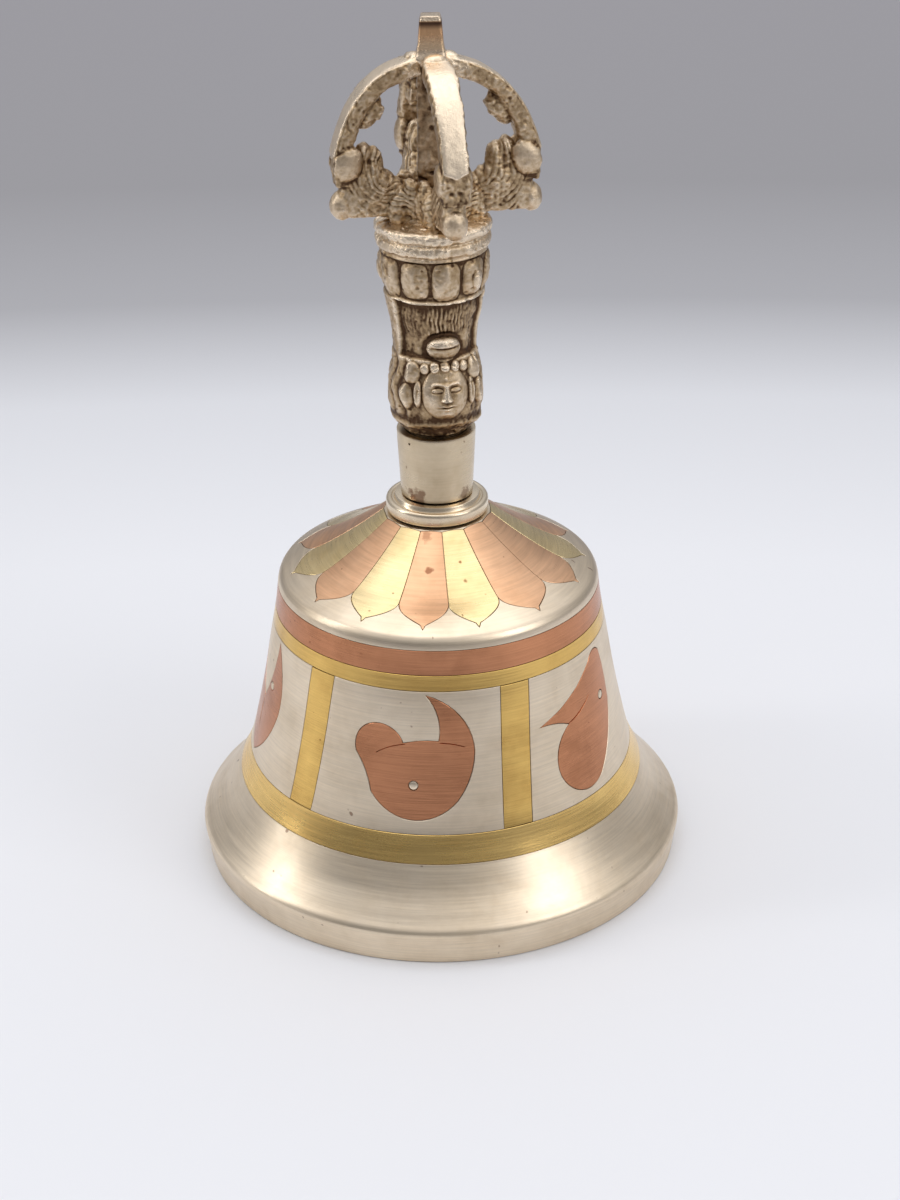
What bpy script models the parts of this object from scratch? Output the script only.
"""A Tibetan hand bell (ghanta): a turned white-metal bell inlaid with copper and brass,
a cast handle ending in a half-vajra, and an iron clapper hung inside on a chain link.

Lengths are in millimetres until a mesh is finished, which scales it to metres.
+Z is the bell's axis, the rim stands on z = 0, and azimuth 0 faces -Y, turning towards +X.
"""

import math

import bmesh
import bpy
from mathutils import Matrix, Vector

MM = 0.001
GAP = 0.3  # clearance left between neighbouring pieces

# --- bell: outside line as (radius, height), rim to shoulder, then shoulder to neck
RIM_RADIUS = 45.0
FLARE_LINE = [(45.9, 6.5), (43.6, 9.0), (41.1, 12.0), (38.3, 16.4)]
WALL_LINE = [(38.3, 16.4), (36.2, 21.3), (34.5, 28.0), (32.8, 36.0), (31.4, 44.0), (30.2, 50.4),
             (29.6, 55.0)]
CROWN_LINE = [(28.8, 56.9), (27.5, 57.9), (25.0, 59.2), (20.5, 61.3), (14.6, 65.0), (9.6, 68.7)]
WALL_THICKNESS = 3.2
CROWN_THICKNESS = 3.7
RIM_INNER_RADIUS = 40.4
SEAT_HEIGHT = 68.7
BELL_SIDES = 48
CROWN_HOLE_RADIUS = 3.0

# --- turned bands let into the wall
LOWER_BAND = (16.4, 21.3)
UPPER_BAND = (47.5, 50.4)
COPPER_BAND = (50.4, 55.0)
BAND_THICKNESS = 0.7

# --- upright bars, ornaments and petals let into the wall and crown
INLAY_THICKNESS = 0.8
RECESS_DEPTH = 1.15
BAR_WIDTH = 5.5
BAR_AZIMUTHS = (24.0, 97.0, 170.0, 243.0, 316.0)
BAR_LEAN = 3.0  # degrees that a bar's foot lies anticlockwise of its head
ORNAMENT_HEIGHT = 34.6
RIVET_RADIUS = 0.75
PETAL_AZIMUTHS = (-6.0, 15.0, 41.0, 69.0, 92.0, 115.0, 138.0, 161.0, 184.0, 207.0, 230.0, 253.0,
                  280.0, 306.0, 330.0)
PETAL_METALS = "CBCCBCBCBCBCBCB"  # copper or brass, in the same order
PETAL_INNER, PETAL_SHOULDER, PETAL_TIP = 9.9, 22.2, 27.2
PETAL_POINT = 4.5  # length over which a petal rounds in before its short spike
CHART_RADIUS = 25.0  # radius at which the petals' flat drawing is true to scale

# --- ornaments: corner x, corner y, and the bulge of the arc to the next corner
CLOUD = [(-7.4, -6.4, 0.50), (8.4, -7.2, 0.16), (11.2, 1.6, 0.32), (2.4, 12.2, -0.24),
         (4.8, 3.8, 0.10), (-1.6, 3.2, 0.98), (-10.4, 0.6, -0.12)]
LEAF = [(-8.4, -7.0, 0.50), (2.4, -10.6, 0.16), (9.6, 0.4, 0.10), (8.2, 10.6, 0.50),
        (3.6, 10.4, -0.08), (-11.2, 3.2, -0.14), (-4.4, 1.6, 0.36)]
TWIN = [(0.4, -12.2, 0.22), (9.4, -0.6, 0.22), (5.6, 12.2, -0.16),
        (0.8, -0.8, -0.16), (-5.6, 9.4, 0.24), (-9.6, -3.2, 0.26)]
ORNAMENTS = [
    # name, outline, azimuth of its centre, rivet position on the outline's own drawing
    ("cloud_front", CLOUD, -9.0, (0.4, -4.4)),
    ("leaf_right", LEAF, 53.0, (6.4, 2.6)),
    ("twin_back_right", TWIN, 133.5, (4.6, 3.0)),
    ("cloud_back_left", CLOUD, 206.5, (0.4, -4.4)),
    ("twin_left", TWIN, 280.0, (4.6, 3.0)),
]

# --- handle
FLANGE_RADIUS = 9.3
FLANGE_BOTTOM, FLANGE_TOP = 69.0, 71.5
FERRULE_BOTTOM, FERRULE_TOP = 72.5, 84.9
FERRULE_WALL = 0.8
STEM_SPIGOT_RADIUS, STEM_SPIGOT_BOTTOM = 5.6, 78.3
STEM_LINE = [(6.2, 85.3), (7.0, 86.4), (7.8, 88.6), (8.2, 91.0), (8.1, 95.2), (7.4, 99.0), (7.6, 104.0),
             (8.3, 108.3), (9.0, 111.5), (9.5, 115.0), (9.7, 118.3), (9.3, 119.0), (9.9, 119.7),
             (9.9, 120.9), (9.4, 121.5), (9.9, 122.0), (10.0, 123.1), (9.5, 123.6)]
HUB_RADIUS, HUB_TOP = 4.6, 127.6
HANDLE_SIDES = 24
PRONG_TURN = 13.0  # degrees that the half-vajra is turned from the bell's front
PRONG_LINE = [(16.0, 134.0), (16.2, 137.4), (15.2, 140.9), (13.0, 144.2), (9.8, 147.4), (6.6, 149.7),
              (4.4, 151.0), (3.05, 151.6)]
PRONG_RADII = [1.9, 1.8, 1.7, 1.6, 1.5, 1.35, 1.25, 1.2]
JAW_REACH, JAW_HEIGHTS = (5.0, 18.0), (124.0, 131.2)
HEAD_REACH, HEAD_HEIGHTS = (10.2, 18.2), (129.5, 137.6)
HEAD_WIDTH = 5.0
ROD_FOOT, ROD_TOP = 127.9, 158.3
ROD_HALF_WIDTHS = [(2.5, 127.9), (2.25, 152.7), (1.85, 157.4), (1.6, 158.3)]

# --- clapper suspension, hanging plumb
SHANK_RADIUS = 2.5
SHANK_TOP = 96.0
EYE_RADIUS, EYE_WIRE = 3.0, 1.0
EYE_HEIGHT = 54.3
LINK_RADIUS, LINK_WIRE = 3.8, 0.9
WIRE_REACH = EYE_WIRE + LINK_WIRE + GAP  # centre to centre of two wires that hang in each other
LINK_PIVOT = EYE_HEIGHT - EYE_RADIUS
LINK_HEIGHT = LINK_PIVOT + WIRE_REACH - LINK_RADIUS
CLAPPER_PIVOT = LINK_HEIGHT - LINK_RADIUS
CLAPPER_EYE_HEIGHT = CLAPPER_PIVOT + WIRE_REACH - EYE_RADIUS
WASHER_RADIUS, WASHER_BOTTOM, WASHER_TOP = 7.5, 62.9, 64.1
NUT_ACROSS_CORNERS, NUT_BOTTOM, NUT_TOP = 11.0, 58.6, 62.6
CLAPPER_ROD_RADIUS = 1.6
BULB_BOTTOM, BULB_TOP = 3.5, 20.5
BULB_LINE = [(3.0, 20.5), (3.9, 19.2), (5.6, 16.6), (7.0, 13.8), (7.5, 11.0), (7.2, 8.4), (5.8, 5.6),
             (3.4, 3.9)]

MATERIALS = {
    "white_metal": ((0.72, 0.65, 0.56), 0.28, 1.0),
    "copper": ((0.60, 0.31, 0.20), 0.32, 1.0),
    "brass": ((0.66, 0.50, 0.20), 0.30, 1.0),
    "cast_bronze": ((0.46, 0.36, 0.22), 0.42, 1.0),
    "rod_bronze": ((0.40, 0.24, 0.13), 0.40, 1.0),
    "polished_ferrule": ((0.60, 0.50, 0.34), 0.30, 1.0),
    "dark_iron": ((0.10, 0.09, 0.085), 0.55, 1.0),
    "steel": ((0.42, 0.40, 0.38), 0.40, 1.0),
}


# --------------------------------------------------------------------------- scene and materials

def clear_scene():
    for obj in list(bpy.data.objects):
        bpy.data.objects.remove(obj, do_unlink=True)


def make_collection(name):
    collection = bpy.data.collections.new(name)
    bpy.context.scene.collection.children.link(collection)
    return collection


def make_material(node, kind):
    colour, roughness, metallic = MATERIALS[kind]
    material = bpy.data.materials.new(node)
    material.use_nodes = True
    shader = material.node_tree.nodes["Principled BSDF"]
    shader.inputs["Base Color"].default_value = (*colour, 1.0)
    shader.inputs["Roughness"].default_value = roughness
    shader.inputs["Metallic"].default_value = metallic
    material.diffuse_color = (*colour, 1.0)
    return material


def finish_part(obj, kind):
    """Give a finished piece its own material and its shading."""
    obj.data.materials.clear()
    obj.data.materials.append(make_material(obj.name, kind))
    obj.data.shade_smooth()
    obj.data.set_sharp_from_angle(angle=math.radians(35))
    return obj


def hide_cutter(obj):
    obj.hide_render = True
    obj.display_type = "WIRE"
    return obj


# --------------------------------------------------------------------------- shapes

def smooth_line(points, steps=4):
    """A Catmull-Rom curve through a few (radius, height) points."""
    padded = [points[0], *points, points[-1]]
    line = []
    for before, start, end, after in zip(padded, padded[1:], padded[2:], padded[3:]):
        for step in range(steps):
            t = step / steps
            weights = (-t + 2 * t**2 - t**3, 2 - 5 * t**2 + 3 * t**3, t + 4 * t**2 - 3 * t**3, t**3 - t**2)
            corners = (before, start, end, after)
            line.append(tuple(sum(w * c[axis] for w, c in zip(weights, corners)) / 2 for axis in (0, 1)))
    line.append(points[-1])
    return line


def interpolate(line, value, key, result):
    """Read coordinate `result` of a line where coordinate `key` has the given value."""
    ordered = sorted(line, key=lambda point: point[key])
    for low, high in zip(ordered, ordered[1:]):
        if value <= high[key]:
            share = (value - low[key]) / (high[key] - low[key])
            return low[result] + share * (high[result] - low[result])
    return ordered[-1][result]


WALL_CURVE = smooth_line(WALL_LINE)
CROWN_CURVE = smooth_line(CROWN_LINE)


def wall_radius(height):
    return interpolate(WALL_CURVE, height, 1, 0)


def crown_height(radius):
    return interpolate(CROWN_CURVE, radius, 0, 1)


def link_mesh(name, mesh, collection):
    obj = bpy.data.objects.new(name, mesh)
    collection.objects.link(obj)
    return obj


def lathe(name, profile, sides, collection, closed=True):
    """Turn a (radius, height) outline, which runs down its outer side, about Z.

    An outline that is not closed has its first and last points on the axis.
    """
    count = len(profile)
    mesh = bpy.data.meshes.new(name)
    points = [(radius * MM, 0.0, height * MM) for radius, height in profile]
    edges = [(i, (i + 1) % count) for i in range(count if closed else count - 1)]
    mesh.from_pydata(points, edges, [])
    obj = link_mesh(name, mesh, collection)
    screw = obj.modifiers.new("turn", "SCREW")
    screw.axis = "Z"
    screw.angle = math.tau
    screw.steps = screw.render_steps = sides
    screw.use_merge_vertices = True
    screw.merge_threshold = 0.00001
    return apply_modifiers(obj)


def solid_lathe(name, profile, sides, collection):
    return lathe(name, profile, sides, collection, closed=False)


def apply_modifiers(obj):
    """Replace an object's mesh or curve with its evaluated mesh, welded."""
    evaluated = obj.evaluated_get(bpy.context.evaluated_depsgraph_get())
    mesh = bpy.data.meshes.new_from_object(evaluated)
    bm = bmesh.new()
    bm.from_mesh(mesh)
    bmesh.ops.remove_doubles(bm, verts=bm.verts, dist=0.000004)
    bmesh.ops.dissolve_degenerate(bm, edges=bm.edges, dist=0.000002)
    bm.to_mesh(mesh)
    bm.free()
    name, collection, matrix = obj.name, obj.users_collection[0], obj.matrix_world.copy()
    bpy.data.objects.remove(obj, do_unlink=True)
    result = link_mesh(name, mesh, collection)
    result.matrix_world = matrix
    return result


def boolean(obj, others, operation):
    """Cut or join an object with other objects one after another."""
    for number, other in enumerate(others):
        modifier = obj.modifiers.new(f"step_{number}", "BOOLEAN")
        modifier.operation = operation
        modifier.object = other
    return apply_modifiers(obj)


def unite(obj, others):
    result = boolean(obj, others, "UNION")
    for other in others:
        bpy.data.objects.remove(other, do_unlink=True)
    return result


def plate(name, outline, thickness, collection):
    """A flat outline in X and Y as a filled 2D curve, thick in Z from 0 to its thickness."""
    curve = bpy.data.curves.new(name, "CURVE")
    curve.dimensions = "2D"
    curve.fill_mode = "BOTH"
    curve.extrude = thickness / 2
    spline = curve.splines.new("POLY")
    spline.points.add(len(outline) - 1)
    for point, (x, y) in zip(spline.points, outline):
        point.co = (x, y, 0.0, 1.0)
    spline.use_cyclic_u = True
    obj = bpy.data.objects.new(name, curve)
    collection.objects.link(obj)
    obj.location.z = thickness / 2
    bpy.context.view_layer.update()
    return apply_modifiers(obj)


def bend_plate(obj, place, low, cuts):
    """Slice a plate along its bending lines, then move each vertex with place(x, y, depth)."""
    bm = bmesh.new()
    bm.from_mesh(obj.data)
    bm.transform(Matrix.Translation((0.0, 0.0, obj.location.z + low)))
    for normal, position in cuts:
        geometry = [*bm.verts, *bm.edges, *bm.faces]
        point = Vector(normal) * position
        bmesh.ops.bisect_plane(bm, geom=geometry, dist=0.0001, plane_co=point, plane_no=normal)
    bmesh.ops.triangulate(bm, faces=bm.faces)
    for vertex in bm.verts:
        vertex.co = Vector(place(*vertex.co)) * MM
    face_outwards(bm)
    bm.to_mesh(obj.data)
    bm.free()
    obj.location = (0.0, 0.0, 0.0)
    return obj


def face_outwards(bm):
    bmesh.ops.recalc_face_normals(bm, faces=bm.faces)
    if bm.calc_volume(signed=True) < 0.0:
        bmesh.ops.reverse_faces(bm, faces=bm.faces)


def arc_outline(corners, turn=math.radians(26)):
    """Points along arcs between corners; a positive bulge swells outwards, anticlockwise."""
    outline = []
    for (x0, y0, bulge), (x1, y1, _) in zip(corners, corners[1:] + corners[:1]):
        sweep = 4 * math.atan(bulge)
        steps = max(1, round(abs(sweep) / turn))
        chord = Vector((x1 - x0, y1 - y0))
        middle = Vector((x0 + x1, y0 + y1)) / 2
        to_centre = Vector((-chord.y, chord.x)) / (2 * math.tan(sweep / 2))
        centre = middle + to_centre
        spoke = Vector((x0, y0)) - centre
        for step in range(steps):
            angle = sweep * step / steps
            turned = Matrix.Rotation(angle, 2) @ spoke
            outline.append(tuple(centre + turned))
    return outline


def grow(outline, margin):
    """Move an anticlockwise outline outwards by a margin."""
    grown = []
    for before, here, after in zip(outline[-1:] + outline[:-1], outline, outline[1:] + outline[:1]):
        arriving = (Vector(here) - Vector(before)).normalized()
        leaving = (Vector(after) - Vector(here)).normalized()
        normal = Vector((arriving.y + leaving.y, -arriving.x - leaving.x)).normalized()
        stretch = max(0.5, normal.dot(Vector((arriving.y, -arriving.x))))
        grown.append(tuple(Vector(here) + normal * margin / stretch))
    return grown


def around(azimuth, radius, height):
    """A point at an azimuth in degrees, radius and height, all in millimetres."""
    angle = math.radians(azimuth)
    return radius * math.sin(angle), -radius * math.cos(angle), height


# --------------------------------------------------------------------------- bell

def bell_profile():
    top_edge = (CROWN_HOLE_RADIUS, SEAT_HEIGHT)
    crown = [point for point in reversed(smooth_line(CROWN_LINE, 2))]
    upper = [(wall_radius(COPPER_BAND[1]), COPPER_BAND[1]), *groove(UPPER_BAND[0], COPPER_BAND[1])]
    panel = [(wall_radius(z), z) for z in (UPPER_BAND[0], 34.5, LOWER_BAND[1])]
    lower = groove(*LOWER_BAND)
    flare = [point for point in reversed(smooth_line(FLARE_LINE, 1))]
    rim = [(RIM_RADIUS + 0.3, 0.5), (RIM_RADIUS - 0.2, 0.0), (RIM_INNER_RADIUS + 0.4, 0.0),
           (RIM_INNER_RADIUS, 0.5)]
    inner_wall = [(39.4, 8.0), (36.8, 13.5)]
    inner_wall += [(wall_radius(z) - WALL_THICKNESS, z) for z in (19.0, 33.0, 51.0)]
    inner_crown = [(radius, crown_height(radius) - CROWN_THICKNESS) for radius in (24.0, 16.0, 9.8)]
    under_seat = [(8.6, inner_crown[-1][1] + 0.3), (CROWN_HOLE_RADIUS, inner_crown[-1][1] + 0.3)]
    return [top_edge, *crown, *upper, *panel, *lower, *flare, *rim, *inner_wall, *inner_crown, *under_seat]


def groove(bottom, top):
    """The floor of a turned groove from its top edge to its bottom edge."""
    depth = BAND_THICKNESS + GAP
    return [(wall_radius(z) - depth, z) for z in (top, bottom)]


def turned_band(name, bounds, kind, collection):
    bottom, top = bounds[0] + GAP / 2, bounds[1] - GAP / 2
    outside = [(wall_radius(z), z) for z in (top, bottom)]
    inside = [(wall_radius(z) - BAND_THICKNESS, z) for z in (bottom, top)]
    return finish_part(lathe(name, outside + inside, BELL_SIDES, collection), kind)


def wall_place(azimuth, lean=0.0):
    """Where a flat drawing's point goes on the wall at an azimuth."""
    def place(x, y, depth):
        height = ORNAMENT_HEIGHT + y
        radius = wall_radius(height)
        span = UPPER_BAND[0] - LOWER_BAND[1]
        return around(azimuth + math.degrees(x / radius) + lean * y / span, radius + depth, height)
    return place


WALL_CUTS = ([((1.0, 0.0, 0.0), x) for x in (-8.0, -4.0, 0.0, 4.0, 8.0)]
             + [((0.0, 1.0, 0.0), 0.0)])


def wall_inlay(name, outline, azimuth, collection, lean=0.0):
    obj = plate(name, outline, INLAY_THICKNESS, collection)
    return bend_plate(obj, wall_place(azimuth, lean), -INLAY_THICKNESS, WALL_CUTS)


def wall_cutter(name, outline, azimuth, collection, lean=0.0):
    obj = plate(name, outline, RECESS_DEPTH + 1.0, collection)
    return hide_cutter(bend_plate(obj, wall_place(azimuth, lean), -RECESS_DEPTH, WALL_CUTS))


def bar_outline(margin):
    half = BAR_WIDTH / 2 + margin
    low = LOWER_BAND[1] - ORNAMENT_HEIGHT + GAP - margin
    high = UPPER_BAND[0] - ORNAMENT_HEIGHT - GAP + margin
    return [(-half, low), (half, low), (half, high), (-half, high)]


def petal_half_angles(index):
    """Half widths of a petal in degrees, clockwise side first, up to its neighbours."""
    count = len(PETAL_AZIMUTHS)
    here = PETAL_AZIMUTHS[index]
    before = (here - PETAL_AZIMUTHS[index - 1]) % 360
    after = (PETAL_AZIMUTHS[(index + 1) % count] - here) % 360
    return before / 2, after / 2


def petal_outline(index, steps=3):
    """A petal drawn flat: x is its turn at the chart radius, y its distance from the axis."""
    left, right = (math.radians(angle) for angle in petal_half_angles(index))
    side = []
    for radius in (PETAL_INNER, 15.0):
        side.append((1.0, radius))
    for step in range(steps + 1):
        u = 0.92 * step / steps
        side.append(((1 - u**2) * (1 - 0.3 * u**4), PETAL_SHOULDER + u * PETAL_POINT))
    side.append((0.0, PETAL_TIP))

    def edge(share, radius, half):
        return max(0.0, share * half * CHART_RADIUS - GAP / 2 * CHART_RADIUS / radius), radius

    right_side = [edge(share, radius, right) for share, radius in side]
    left_side = [edge(share, radius, left) for share, radius in side[:-1]]
    return right_side + [(-x, y) for x, y in reversed(left_side)]


def crown_place(azimuth):
    def place(x, y, depth):
        return around(azimuth + math.degrees(x / CHART_RADIUS), y, crown_height(y) + depth)
    return place


CROWN_CUTS = ([((1.0, 0.0, 0.0), x) for x in (-2.0, 2.0)]
              + [((0.0, 1.0, 0.0), y) for y in (15.0, 20.0)])


def petal(index, collection, cutters):
    kind = {"C": "copper", "B": "brass"}[PETAL_METALS[index]]
    azimuth = PETAL_AZIMUTHS[index]
    outline = petal_outline(index)
    name = f"{kind}_petal_{index + 1}"
    obj = plate(name, outline, INLAY_THICKNESS, collection)
    finish_part(bend_plate(obj, crown_place(azimuth), -INLAY_THICKNESS, CROWN_CUTS), kind)
    cutter = plate(f"cut_{name}", grow(outline, GAP), RECESS_DEPTH + 1.0, cutters)
    return hide_cutter(bend_plate(cutter, crown_place(azimuth), -RECESS_DEPTH, CROWN_CUTS))


def rivet_cutter(name, position, azimuth, radius, low, high, collection):
    """A short round bar standing on the wall, from one depth to another."""
    outline = [(position[0] + radius * math.cos(angle), position[1] + radius * math.sin(angle))
               for angle in (math.tau * step / 12 for step in range(12))]
    obj = plate(name, outline, high - low, collection)
    return bend_plate(obj, wall_place(azimuth), low, [])


def ornament(entry, collection, cutters):
    """A copper ornament with its rivet; returns the recess cutter."""
    label, corners, azimuth, rivet = entry
    outline = arc_outline(corners)
    obj = wall_inlay(f"copper_{label}", outline, azimuth, collection)
    hole = hide_cutter(rivet_cutter(f"hole_{label}", rivet, azimuth, RIVET_RADIUS + GAP, -2.0, 1.0, cutters))
    finish_part(boolean(obj, [hole], "DIFFERENCE"), "copper")
    head = rivet_cutter(f"rivet_{label}", rivet, azimuth, RIVET_RADIUS, -INLAY_THICKNESS, 0.1, collection)
    finish_part(head, "white_metal")
    return wall_cutter(f"cut_{label}", grow(outline, GAP), azimuth, cutters)


def build_bell(parts, cutters):
    recesses = [petal(index, parts, cutters) for index in range(len(PETAL_AZIMUTHS))]
    for number, azimuth in enumerate(BAR_AZIMUTHS, 1):
        bar = wall_inlay(f"brass_bar_{number}", bar_outline(0.0), azimuth, parts, BAR_LEAN)
        finish_part(bar, "brass")
        recesses.append(wall_cutter(f"cut_bar_{number}", bar_outline(GAP + 0.1), azimuth, cutters, BAR_LEAN))
    recesses += [ornament(entry, parts, cutters) for entry in ORNAMENTS]
    shell = lathe("bell_shell", bell_profile(), BELL_SIDES, parts)
    finish_part(boolean(shell, recesses, "DIFFERENCE"), "white_metal")
    turned_band("lower_brass_band", LOWER_BAND, "brass", parts)
    turned_band("upper_brass_band", UPPER_BAND, "brass", parts)
    turned_band("copper_band", COPPER_BAND, "copper", parts)


# --------------------------------------------------------------------------- handle

def build_handle(parts, cutters):
    hole = SHANK_RADIUS + GAP
    steps = [(7.6, 0.7), (7.9, 0.3), (8.1, -0.1), (8.6, 0.0), (9.1, -0.3), (FLANGE_RADIUS, -0.9)]
    upper = [(radius, FLANGE_TOP + rise) for radius, rise in steps]
    flange = [(hole, FLANGE_TOP + 0.7), *upper, (FLANGE_RADIUS - 0.1, FLANGE_BOTTOM), (hole, FLANGE_BOTTOM)]
    finish_part(lathe("base_flange", flange, HANDLE_SIDES, parts), "white_metal")

    outside = [(7.1, FERRULE_TOP), (6.8, 78.0), (6.5, FERRULE_BOTTOM)]
    inside = [(radius - FERRULE_WALL, height) for radius, height in reversed(outside)]
    finish_part(lathe("ferrule", outside + inside, HANDLE_SIDES, parts), "polished_ferrule")

    socket_top = SHANK_TOP + GAP
    spigot = [(STEM_SPIGOT_RADIUS, z) for z in (FERRULE_TOP, STEM_SPIGOT_BOTTOM)] + [(hole, STEM_SPIGOT_BOTTOM)]
    hub_foot = STEM_LINE[-1][1]
    hub = [(0.0, HUB_TOP), (HUB_RADIUS - 0.6, HUB_TOP), (HUB_RADIUS, HUB_TOP - 1.0), (HUB_RADIUS, hub_foot)]
    stem = [*hub, *reversed(STEM_LINE), *spigot, (hole, socket_top), (0.0, socket_top)]
    finish_part(solid_lathe("handle_stem", stem, HANDLE_SIDES, parts), "cast_bronze")

    for number, side in enumerate(("front", "right", "back", "left")):
        makara_prong(f"makara_prong_{side}", PRONG_TURN + 90.0 * number, parts)
    build_rod(parts)


def makara_prong(name, azimuth, collection):
    """One outer prong: a beast's head on the hub and a horn that curves in to the rod."""
    jaw = box(name, JAW_REACH, HEAD_WIDTH, JAW_HEIGHTS, 1.0, collection)
    head = box(f"{name}_head", HEAD_REACH, HEAD_WIDTH - 0.4, HEAD_HEIGHTS, 1.3, collection)
    cheek = ball(f"{name}_cheek", (15.9, 134.3), (2.6, 3.1, 3.4), collection)
    knob = ball(f"{name}_knob", (16.4, 127.4), (2.2, 3.0, 2.9), collection)
    horn = tube(f"{name}_horn", PRONG_LINE, PRONG_RADII, collection)
    obj = unite(jaw, [head, cheek, knob, horn])
    obj.rotation_euler.z = math.radians(azimuth - 90.0)
    bake_transform(obj)
    return finish_part(obj, "cast_bronze")


def bake_transform(obj):
    bpy.context.view_layer.update()
    obj.data.transform(obj.matrix_world)
    obj.matrix_world = Matrix.Identity(4)


def box(name, across, width, heights, bevel, collection):
    """A bevelled block along +X between two radii, centred on the X-Z plane."""
    bm = bmesh.new()
    bmesh.ops.create_cube(bm, size=1.0)
    size = (across[1] - across[0], width, heights[1] - heights[0])
    centre = ((across[0] + across[1]) / 2, 0.0, (heights[0] + heights[1]) / 2)
    bmesh.ops.scale(bm, vec=size, verts=bm.verts)
    bmesh.ops.bevel(bm, geom=[*bm.edges], offset=bevel, segments=1, profile=0.5, affect="EDGES")
    bmesh.ops.translate(bm, vec=centre, verts=bm.verts)
    return finish_bmesh(name, bm, collection)


def ball(name, centre, radii, collection):
    bm = bmesh.new()
    bmesh.ops.create_uvsphere(bm, u_segments=12, v_segments=7, radius=1.0)
    bmesh.ops.scale(bm, vec=radii, verts=bm.verts)
    bmesh.ops.translate(bm, vec=(centre[0], 0.0, centre[1]), verts=bm.verts)
    return finish_bmesh(name, bm, collection)


def finish_bmesh(name, bm, collection):
    bmesh.ops.scale(bm, vec=(MM, MM, MM), verts=bm.verts)
    mesh = bpy.data.meshes.new(name)
    bm.to_mesh(mesh)
    bm.free()
    return link_mesh(name, mesh, collection)


def tube(name, line, radii, collection):
    """A tapering round rod along (x, z) points in the X-Z plane."""
    curve = bpy.data.curves.new(name, "CURVE")
    curve.dimensions = "3D"
    curve.bevel_depth = MM
    curve.bevel_resolution = 1
    curve.use_fill_caps = True
    spline = curve.splines.new("POLY")
    spline.points.add(len(line) - 1)
    for point, (x, z), radius in zip(spline.points, line, radii):
        point.co = (x * MM, 0.0, z * MM, 1.0)
        point.radius = radius
    obj = bpy.data.objects.new(name, curve)
    collection.objects.link(obj)
    return apply_modifiers(obj)


def build_rod(parts):
    """The square centre rod, tapering to a chamfered tip."""
    corner = math.sqrt(2.0)
    profile = [(0.0, ROD_TOP)] + [(half * corner, height) for half, height in reversed(ROD_HALF_WIDTHS)]
    profile.append((0.0, ROD_FOOT))
    rod = solid_lathe("central_prong", profile, 4, parts)
    rod.rotation_euler.z = math.radians(45.0)
    bake_transform(rod)
    finish_part(rod, "rod_bronze")


# --------------------------------------------------------------------------- clapper

def ring(name, radius, wire, height, axis, collection):
    """A round wire ring standing upright, with its hole along the X or Y axis."""
    section = [(radius + wire * math.cos(angle), -wire * math.sin(angle))
               for angle in (math.tau * step / 8 for step in range(8))]
    obj = lathe(name, section, 20, collection)
    obj.matrix_world = Matrix.Translation((0.0, 0.0, height * MM)) @ Matrix.Rotation(math.radians(90), 4, axis)
    bake_transform(obj)
    return obj


def round_bar(name, radius, bottom, top, collection):
    return solid_lathe(name, [(0.0, top), (radius, top), (radius, bottom), (0.0, bottom)], 16, collection)


def build_suspension(parts):
    eye = ring("eye_bolt", EYE_RADIUS, EYE_WIRE, EYE_HEIGHT, "X", parts)
    shank = round_bar("eye_bolt_shank", SHANK_RADIUS, EYE_HEIGHT + EYE_RADIUS, SHANK_TOP, parts)
    finish_part(unite(shank, [eye]), "steel").name = "eye_bolt"

    hole = SHANK_RADIUS + GAP
    washer = [(WASHER_RADIUS, WASHER_TOP), (WASHER_RADIUS, WASHER_BOTTOM), (hole, WASHER_BOTTOM),
              (hole, WASHER_TOP)]
    finish_part(lathe("crown_washer", washer, 24, parts), "steel")

    corner = NUT_ACROSS_CORNERS / 2
    blank = [(0.0, NUT_TOP), (corner, NUT_TOP), (corner, NUT_BOTTOM), (0.0, NUT_BOTTOM)]
    nut = solid_lathe("crown_nut", blank, 6, parts)
    bore = hide_cutter(round_bar("cut_nut_bore", hole, NUT_BOTTOM - 1.0, NUT_TOP + 1.0, parts))
    nut = boolean(nut, [bore], "DIFFERENCE")
    bpy.data.objects.remove(bore, do_unlink=True)
    finish_part(nut, "steel")

    finish_part(ring("link_ring", LINK_RADIUS, LINK_WIRE, LINK_HEIGHT, "Y", parts), "dark_iron")


def build_clapper(parts):
    eye = ring("clapper_eye", EYE_RADIUS, EYE_WIRE, CLAPPER_EYE_HEIGHT, "X", parts)
    rod_foot = BULB_BOTTOM + 9.0
    rod = round_bar("clapper_rod", CLAPPER_ROD_RADIUS, rod_foot, CLAPPER_EYE_HEIGHT - EYE_RADIUS, parts)
    finish_part(unite(rod, [eye]), "dark_iron")
    socket = CLAPPER_ROD_RADIUS + GAP
    socket_foot = rod_foot - GAP
    bulb = [*BULB_LINE, (0.0, BULB_BOTTOM)]
    profile = [(0.0, socket_foot), (socket, socket_foot), (socket, BULB_TOP), *bulb]
    finish_part(solid_lathe("clapper_bulb", profile, 20, parts), "dark_iron")


def main():
    clear_scene()
    parts = make_collection("ghanta_bell")
    cutters = make_collection("cutters")
    build_bell(parts, cutters)
    build_handle(parts, cutters)
    build_suspension(parts)
    build_clapper(parts)


main()
